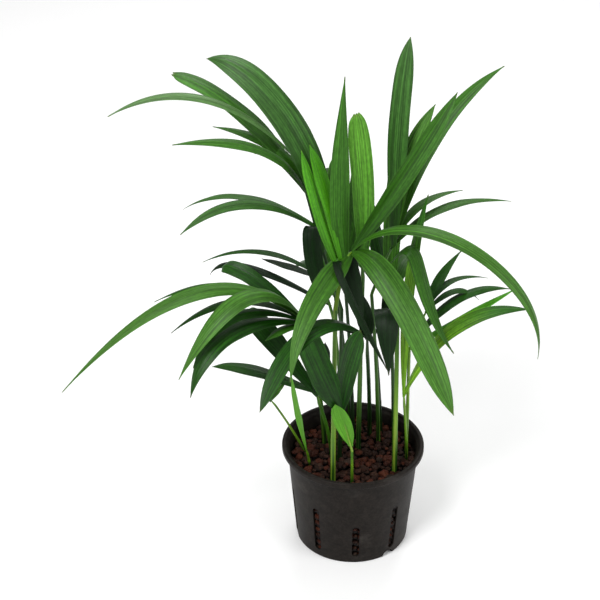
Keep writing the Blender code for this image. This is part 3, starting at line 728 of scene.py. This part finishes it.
granules = dict(
    wallSlope=0.09, baseRadius=59.5, wallThickness=2.0, floorTop=3.3,
    layers=((5.4, 6.4, 26, 400), (4.1, 5.2, 90, 1400), (3.0, 4.0, 200, 5000), (1.9, 2.7, 170, 6000)),
    spacing=0.88, topHeight=101.5, unevenness=2.4, mound=1.2, coreTop=93.5, coreMargin=6.0,
    slotPitch=8.6, slotSize=(3.4, 4.6), slotSpread=3.9, slotReach=1.2,
    lump=0.4, grit=0.34, flatness=0.8, seed=7)
clayKinds = dict(
    red=dict(body=(66, 27, 12), dust=(98, 54, 30), pitAndShade=(7, 3, 2), share=0.42),
    brown=dict(body=(44, 22, 12), dust=(74, 46, 30), pitAndShade=(6, 3, 2), share=0.53),
    grey=dict(body=(48, 35, 27), dust=(78, 60, 48), pitAndShade=(8, 5, 4), share=0.05))
slotColumns = dict(count=9, first=272.5, width=7.5, bottom=9.0, shortTop=50.0, longTop=66.0, perRepeat=3)


def outerRadius(height):
    return granules["baseRadius"] + granules["wallSlope"] * height


def innerRadius(height):
    return outerRadius(height) - granules["wallThickness"]


def slotTop(column):
    return slotColumns["shortTop" if column % slotColumns["perRepeat"] == 0 else "longTop"]


def pebbleBall(detail):  # corner places and faces of a round ball to start each granule from
    ball = bmesh.new()
    bmesh.ops.create_icosphere(ball, subdivisions=detail, radius=1.0)
    corners = [vert.co.copy() for vert in ball.verts]
    faces = [[vert.index for vert in face.verts] for face in ball.faces]
    ball.free()
    return corners, faces


pebbleBalls = {detail: pebbleBall(detail) for detail in (2, 3)}


def addPebble(skin, centre, radius, draw, detail=3):
    g = granules
    corners, faces = pebbleBalls[detail]
    stretch = Vector((draw.uniform(0.86, 1.14), draw.uniform(0.86, 1.14), draw.uniform(g["flatness"], 1.0)))
    turn = draw.uniform(0.0, 2 * math.pi)
    far = Vector((draw.uniform(0, 90), draw.uniform(0, 90), draw.uniform(0, 90)))
    tone = draw.random()
    first = len(skin.points)
    for corner in corners:
        lump = noise.noise(corner * 1.3 + far) * g["lump"] + noise.noise(corner * 3.8 + far) * g["grit"]
        x, y, z = [a * b * radius * (1 + lump) for a, b in zip(corner, stretch)]
        turned = Vector((x * math.cos(turn) - y * math.sin(turn), x * math.sin(turn) + y * math.cos(turn), z))
        # the second value is painted shade: the lower side of each granule gets more of it and is painted darker
        skin.addPoint((centre + turned) * mm, clayTone=tone, clayShelter=0.5 - 0.5 * corner.z)
    for face in faces:
        skin.addFace(*[first + index for index in face])


def topPebbles(draw):  # large ones first, then smaller ones that fill what is left between them
    g = granules
    chosen = []
    feet = [(Vector((*stem["foot"], 0.0)), stem["radius"] * stalkShape["footShare"]) for stem in stems.values()]
    for small, large, wanted, tries in g["layers"]:
        found = 0
        for _ in range(tries):
            if found >= wanted:
                break
            radius = draw.uniform(small, large)
            limit = innerRadius(g["topHeight"]) - radius * 0.96
            distance = limit * math.sqrt(draw.random())
            angle = draw.uniform(0.0, 2 * math.pi)
            spot = Vector((distance * math.cos(angle), distance * math.sin(angle), 0.0))
            if any((spot - other).length < (radius + size) * g["spacing"] for other, size in chosen):
                continue
            if any((spot - foot).length < radius * 0.92 + around for foot, around in feet):
                continue
            chosen.append((spot, radius))
            found += 1
    return chosen


def makeClayGroup():
    group, given, result = newGroup("clayPoresAndShade", [
        ("Place", "Vector", (0.0, 0.0, 0.0)), ("Tone", "Float", 0.5), ("Shelter", "Float", 0.0),
        ("Body Colour", "Color", (0, 0, 0, 1)), ("Dust Colour", "Color", (0, 0, 0, 1)),
        ("Pit And Shade Colour", "Color", (0, 0, 0, 1)),
    ], [("Colour", "Color"), ("Roughness", "Float"), ("Height", "Float")])
    get = given.outputs
    cloud = speckle(group, get["Place"], 160.0, 3.0)
    grain = speckle(group, get["Place"], 620.0, 4.0, 0.7)
    body = shade(group, get["Body Colour"], maths(group, "MULTIPLY_ADD", get["Tone"], 0.7, 0.62))
    dusty = blend(group, ease(group, cloud, 0.5, 0.72, 0.0, 0.55), body, get["Dust Colour"])
    # pits are pores in the clay; the same dark colour also carries the painted shade below
    pitted = blend(group, ease(group, grain, 0.46, 0.32, 0.0, 0.85), dusty, get["Pit And Shade Colour"])
    # painted shade: lower sides of granules, and the whole core, darken towards the pit colour in cloudy patches
    paintedShade = ease(group, maths(group, "MULTIPLY_ADD", cloud, 0.3, get["Shelter"]), 0.32, 0.74)
    feed(group, blend(group, paintedShade, pitted, get["Pit And Shade Colour"]), result.inputs["Colour"])
    feed(group, maths(group, "MULTIPLY_ADD", grain, 0.5, 0.3), result.inputs["Roughness"])
    feed(group, maths(group, "ADD", grain, maths(group, "MULTIPLY", cloud, 0.6)), result.inputs["Height"])
    return group


def makeClayMaterial(kind, settings, group):
    material, tree, shader = newMaterial("clay_" + kind, {"Specular IOR Level": 0.2})
    where = tree.nodes.new("ShaderNodeTexCoord")
    out = useGroup(tree, group, {
        "Place": where.outputs["Object"], "Tone": named(tree, "clayTone").outputs["Fac"],
        "Shelter": named(tree, "clayShelter").outputs["Fac"], "Body Colour": fromScreen(*settings["body"]), "Dust Colour": fromScreen(*settings["dust"]),
        "Pit And Shade Colour": fromScreen(*settings["pitAndShade"])})
    tree.links.new(out["Colour"], shader.inputs["Base Color"])
    tree.links.new(out["Roughness"], shader.inputs["Roughness"])
    bump(tree, shader, out["Height"], 1.0, 0.0018)
    return material


def makeGranules():
    g, c = granules, slotColumns
    draw = random.Random(g["seed"])
    skins = {kind: Skin() for kind in clayKinds}
    names = list(clayKinds)
    shares = [clayKinds[kind]["share"] for kind in names]

    def pick():
        return skins[draw.choices(names, shares)[0]]
    for spot, radius in topPebbles(draw):
        mound = g["mound"] * (1 - spot.length / innerRadius(bedTop))
        top = g["topHeight"] + mound + draw.uniform(-1.0, 0.4) * g["unevenness"]
        addPebble(pick(), spot + up * (top - radius), radius, draw)
    pitch = 360.0 / c["count"]
    for column in range(c["count"]):
        bearing = c["first"] + pitch * column
        across, outward = sideVector(bearing), bearingVector(bearing)
        for sideways in (-1, 0, 1):
            height = c["bottom"] - 3.0 + draw.uniform(0.0, 2.0)
            while height < slotTop(column) + 4.0:
                radius = draw.uniform(*g["slotSize"])
                shift = sideways * g["slotSpread"] + draw.uniform(-0.8, 0.8)
                depth = outerRadius(height) - g["slotReach"] - radius * (1.0 if sideways == 0 else 1.25)
                addPebble(pick(), outward * depth + across * shift + up * height, radius, draw, detail=2)
                height += g["slotPitch"] + draw.uniform(-0.6, 0.9)
    group = makeClayGroup()
    for kind, settings in clayKinds.items():
        material = makeClayMaterial(kind, settings, group)
        place(skins[kind].finish("granules_" + kind, material), "clay", "clay_granules")
    # A dark cylinder inside the bed, given full painted shade, stands in for the shade seen through the gaps between
    # granules.
    core = Skin()
    coreSides, coreTone = 64, 0.0
    rows = []
    for height in (g["floorTop"], g["coreTop"]):
        radius = innerRadius(height) - g["coreMargin"]
        rows.append([core.addPoint(bearingVector(360 * i / coreSides) * radius * mm + up * height * mm,
                                   clayTone=coreTone, clayShelter=1.0) for i in range(coreSides)])
    for i in range(coreSides):
        j = (i + 1) % coreSides
        core.addFace(rows[0][i], rows[0][j], rows[1][j], rows[1][i])
    core.addFace(*reversed(rows[0]))
    core.addFace(*rows[1])
    coreShadeMaterial = makeClayMaterial("core", dict(body=(30, 19, 16), dust=(44, 30, 26), pitAndShade=(12, 8, 7)), group)
    place(core.finish("granules_shade_core", coreShadeMaterial), "clay", "clay_granules")
    print("granules:", sum(len(skin.faces) for skin in skins.values()), "faces")


makeGranules()


# Pot

pot = dict(
    height=115.0, sides=144, floor=3.0, lipRadius=75.0, lipWidth=5.0, lipHeight=6.0, lipRound=1.9,
    lipUnder=0.8, footRound=1.6, ringStep=6.0, arcSteps=5, slotRound=0.45, slotSteps=8,
    notchOffset=36.5, notchWidth=14.0, notchHeight=6.5, notchDepth=6.0, notchSteps=14, margin=3.0)


def arcPoints(centre, radius, start, end, steps):  # centre as (radius, height); angles in degrees
    points = []
    for i in range(steps + 1):
        angle = math.radians(mixNumber(start, end, i / steps))
        points.append((centre[0] + radius * math.cos(angle), centre[1] + radius * math.sin(angle)))
    return points


def potProfile():
    p = pot
    lipBottom = p["height"] - p["lipHeight"]
    lipInside = p["lipRadius"] - p["lipWidth"]
    throat = lipBottom + 1.0
    n = p["arcSteps"]
    foot = p["footRound"]
    points = [(0.0, 0.0)]
    points += arcPoints((outerRadius(foot) - foot, foot), foot, -90, 0, n)
    height = foot + p["ringStep"] / 2
    while height < lipBottom - 1.5:
        points.append((outerRadius(height), height))
        height += p["ringStep"]
    points.append((outerRadius(lipBottom) + 0.2, lipBottom - 0.6))
    points.append((outerRadius(lipBottom) + 0.9, lipBottom))
    r = p["lipUnder"]
    points += arcPoints((p["lipRadius"] - r, lipBottom + r), r, -90, 0, n)
    r = p["lipRound"]
    points += arcPoints((p["lipRadius"] - r, p["height"] - r), r, 0, 90, n)
    points += arcPoints((lipInside + r, p["height"] - r), r, 90, 180, n)
    points.append((innerRadius(throat) + 0.5, throat + 0.8))
    height = throat
    while height > p["floor"] + 1.0:
        points.append((innerRadius(height), height))
        height -= 2 * p["ringStep"]
    points.append((innerRadius(p["floor"]), p["floor"]))
    points.append((0.0, p["floor"]))
    return points


def turnedBody(name, profile, sides):
    skin = Skin()
    bottom = skin.addPoint((0.0, 0.0, profile[0][1] * mm))
    top = skin.addPoint((0.0, 0.0, profile[-1][1] * mm))
    rows = []
    for radius, height in profile[1:-1]:
        rows.append([skin.addPoint((bearingVector(360 * i / sides) * radius + up * height) * mm)
                     for i in range(sides)])
    for i in range(sides):
        j = (i + 1) % sides
        skin.addFace(bottom, rows[0][j], rows[0][i])
        skin.addFace(top, rows[-1][i], rows[-1][j])
        for low, high in zip(rows, rows[1:]):
            skin.addFace(low[i], low[j], high[j], high[i])
    return skin


def loftedCutter(outline, bearing, depths):  # depths give, for a height, how far out and how much wider
    across, outward = sideVector(bearing), bearingVector(bearing)
    middleX = sum(x for x, z in outline) / len(outline)
    skin = Skin()
    rows = []
    for out, wider in depths:
        row = []
        for x, z in outline:
            grow = math.copysign(wider, x - middleX) if abs(x - middleX) > 0.01 else 0.0
            row.append(skin.addPoint((outward * out(z) + across * (x + grow) + up * z) * mm))
        rows.append(row)
    count = len(outline)
    for near, far in zip(rows, rows[1:]):
        for i in range(count):
            j = (i + 1) % count
            skin.addFace(near[i], near[j], far[j], far[i])
    skin.addFace(*reversed(rows[0]))
    skin.addFace(*rows[-1])
    return skin


def slotOutline(top):
    half, n = slotColumns["width"] / 2, pot["slotSteps"]
    points = arcPoints((0.0, slotColumns["bottom"] + half), half, 180, 360, n)
    return points + arcPoints((0.0, top - half), half, 0, 180, n)


def notchOutline():
    p = pot
    half = p["notchWidth"] / 2
    arch = []
    for i in range(p["notchSteps"] + 1):
        angle = math.pi * i / p["notchSteps"]
        arch.append((half * math.cos(angle), p["notchHeight"] * math.sin(angle)))
    return arch + [(-half, -p["notchHeight"]), (half, -p["notchHeight"])]


def cutAway(thing, cutters):
    group = bpy.data.collections.new("cutters")
    for cutter in cutters:
        bpy.context.collection.objects.unlink(cutter)
        group.objects.link(cutter)
    change = thing.modifiers.new("cut", "BOOLEAN")
    change.operation = "DIFFERENCE"
    change.solver = "EXACT"
    change.operand_type = "COLLECTION"
    change.collection = group
    bpy.context.view_layer.update()
    mesh = bpy.data.meshes.new_from_object(thing.evaluated_get(bpy.context.evaluated_depsgraph_get()))
    thing.modifiers.clear()
    thing.data = mesh
    for cutter in cutters:
        bpy.data.objects.remove(cutter, do_unlink=True)
    bpy.data.collections.remove(group)


def makePlasticGroup():
    group, given, result = newGroup("plasticWear", [
        ("Place", "Vector", (0.0, 0.0, 0.0)), ("Body Colour", "Color", (0, 0, 0, 1)),
        ("Dust Colour", "Color", (0, 0, 0, 1)), ("Rub Colour", "Color", (0, 0, 0, 1)),
    ], [("Colour", "Color"), ("Roughness", "Float"), ("Height", "Float")])
    get = given.outputs
    x, y, z = parts(group, get["Place"])
    mottle = speckle(group, get["Place"], 110.0, 5.0, 0.65)
    grain = speckle(group, get["Place"], 700.0, 2.0)
    smear = speckle(group, threeWay(group, maths(group, "MULTIPLY", x, 26.0), maths(group, "MULTIPLY", y, 26.0),
                                    maths(group, "MULTIPLY", z, 44.0)), 1.0, 5.0, 0.6)
    scratch = speckle(group, threeWay(group, maths(group, "MULTIPLY", x, 70.0), maths(group, "MULTIPLY", y, 70.0),
                                      maths(group, "MULTIPLY", z, 900.0)), 1.0, 2.0)
    pepper = speckle(group, get["Place"], 380.0, 3.0, 0.7)
    toned = shade(group, get["Body Colour"], ease(group, mottle, 0.3, 0.7, 0.72, 1.26))
    base = shade(group, toned, ease(group, pepper, 0.35, 0.65, 0.8, 1.24))
    dusty = blend(group, ease(group, smear, 0.52, 0.8, 0.0, 0.5), base, get["Dust Colour"])
    rubbed = blend(group, ease(group, scratch, 0.66, 0.78, 0.0, 0.3), dusty, get["Rub Colour"])
    feed(group, rubbed, result.inputs["Colour"])
    feed(group, maths(group, "MULTIPLY_ADD", smear, 0.3, 0.36), result.inputs["Roughness"])
    feed(group, maths(group, "ADD", grain, maths(group, "MULTIPLY", mottle, 0.5)), result.inputs["Height"])
    return group


def makePot():
    p, c = pot, slotColumns
    material, tree, shader = newMaterial("pot_plastic", {"Specular IOR Level": 0.1})
    where = tree.nodes.new("ShaderNodeTexCoord")
    out = useGroup(tree, makePlasticGroup(), {
        "Place": where.outputs["Object"], "Body Colour": fromScreen(29, 25, 22),
        "Dust Colour": fromScreen(74, 70, 67), "Rub Colour": fromScreen(62, 57, 54)})
    tree.links.new(out["Colour"], shader.inputs["Base Color"])
    tree.links.new(out["Roughness"], shader.inputs["Roughness"])
    bump(tree, shader, out["Height"], 0.25, 0.0004)
    body = turnedBody("pot_shell", potProfile(), p["sides"]).finish("pot_shell", material)
    margin, rim = p["margin"], p["slotRound"]
    depths = [(lambda z: innerRadius(z) - margin, 0.0), (lambda z: outerRadius(z) - rim, 0.0),
              (lambda z: outerRadius(z) + 0.1, rim), (lambda z: outerRadius(z) + margin, rim)]
    cutters = []
    pitch = 360.0 / c["count"]
    for column in range(c["count"]):
        bearing = c["first"] + pitch * column
        cutter = loftedCutter(slotOutline(slotTop(column)), bearing, depths)
        cutters.append(cutter.finish("cutter", material))
        if column % c["perRepeat"] == 0:
            near, far = p["notchDepth"], p["notchDepth"]
            notchDepths = [(lambda z: granules["baseRadius"] - near, 0.0),
                           (lambda z: granules["baseRadius"] + far, 0.0)]
            notch = loftedCutter(notchOutline(), bearing + p["notchOffset"], notchDepths)
            cutters.append(notch.finish("cutter", material))
    cutAway(body, cutters)
    body.data.shade_smooth()
    body.data.set_sharp_from_angle(angle=math.radians(32))
    place(body, "pot_plastic", "pot")
    print("pot:", len(body.data.polygons), "faces")


makePot()


# Floor, light and camera

studio = dict(
    floorSize=24.0, floorColour=(0.97, 0.97, 0.97, 1.0), worldColour=(1.0, 1.0, 1.0, 1.0), worldStrength=0.42,
    lights=(("key", (-0.9, -1.2, 2.1), 1.0, 40.0), ("fill", (1.6, -0.9, 1.5), 1.4, 18.0),
            ("back", (0.2, 1.3, 1.9), 1.2, 20.0)),
    aim=(0.0, 0.0, 0.3), cameraPlace=(-0.056, -1.635, 1.305), cameraPitch=58.2, lens=114.48, sensor=36.0)


def makeStudio():
    s = studio
    half = s["floorSize"] / 2
    mesh = bpy.data.meshes.new("floor")
    mesh.from_pydata([(-half, -half, 0), (half, -half, 0), (half, half, 0), (-half, half, 0)], [], [(0, 1, 2, 3)])
    floor = bpy.data.objects.new("floor", mesh)
    material, tree, shader = newMaterial("floor_white", {"Roughness": 0.9, "Specular IOR Level": 0.1})
    shader.inputs["Base Color"].default_value = s["floorColour"]
    mesh.materials.append(material)
    bpy.context.collection.objects.link(floor)
    world = bpy.data.worlds.new("studio")
    world.use_nodes = True
    background = world.node_tree.nodes["Background"]
    background.inputs["Color"].default_value = s["worldColour"]
    background.inputs["Strength"].default_value = s["worldStrength"]
    bpy.context.scene.world = world
    for name, spot, size, power in s["lights"]:
        light = bpy.data.lights.new(name, "AREA")
        light.shape = "DISK"
        light.size = size
        light.energy = power
        lamp = bpy.data.objects.new(name, light)
        lamp.location = spot
        lamp.rotation_euler = (Vector(s["aim"]) - Vector(spot)).to_track_quat("-Z", "Y").to_euler()
        bpy.context.collection.objects.link(lamp)
    camera = bpy.data.cameras.new("camera")
    camera.sensor_width = s["sensor"]
    camera.lens = s["lens"]
    eye = bpy.data.objects.new("camera", camera)
    eye.location = s["cameraPlace"]
    eye.rotation_euler = (math.radians(s["cameraPitch"]), 0.0, 0.0)
    bpy.context.collection.objects.link(eye)
    bpy.context.scene.camera = eye
    bpy.context.scene.view_settings.view_transform = "Standard"
    print("studio ready")


makeStudio()
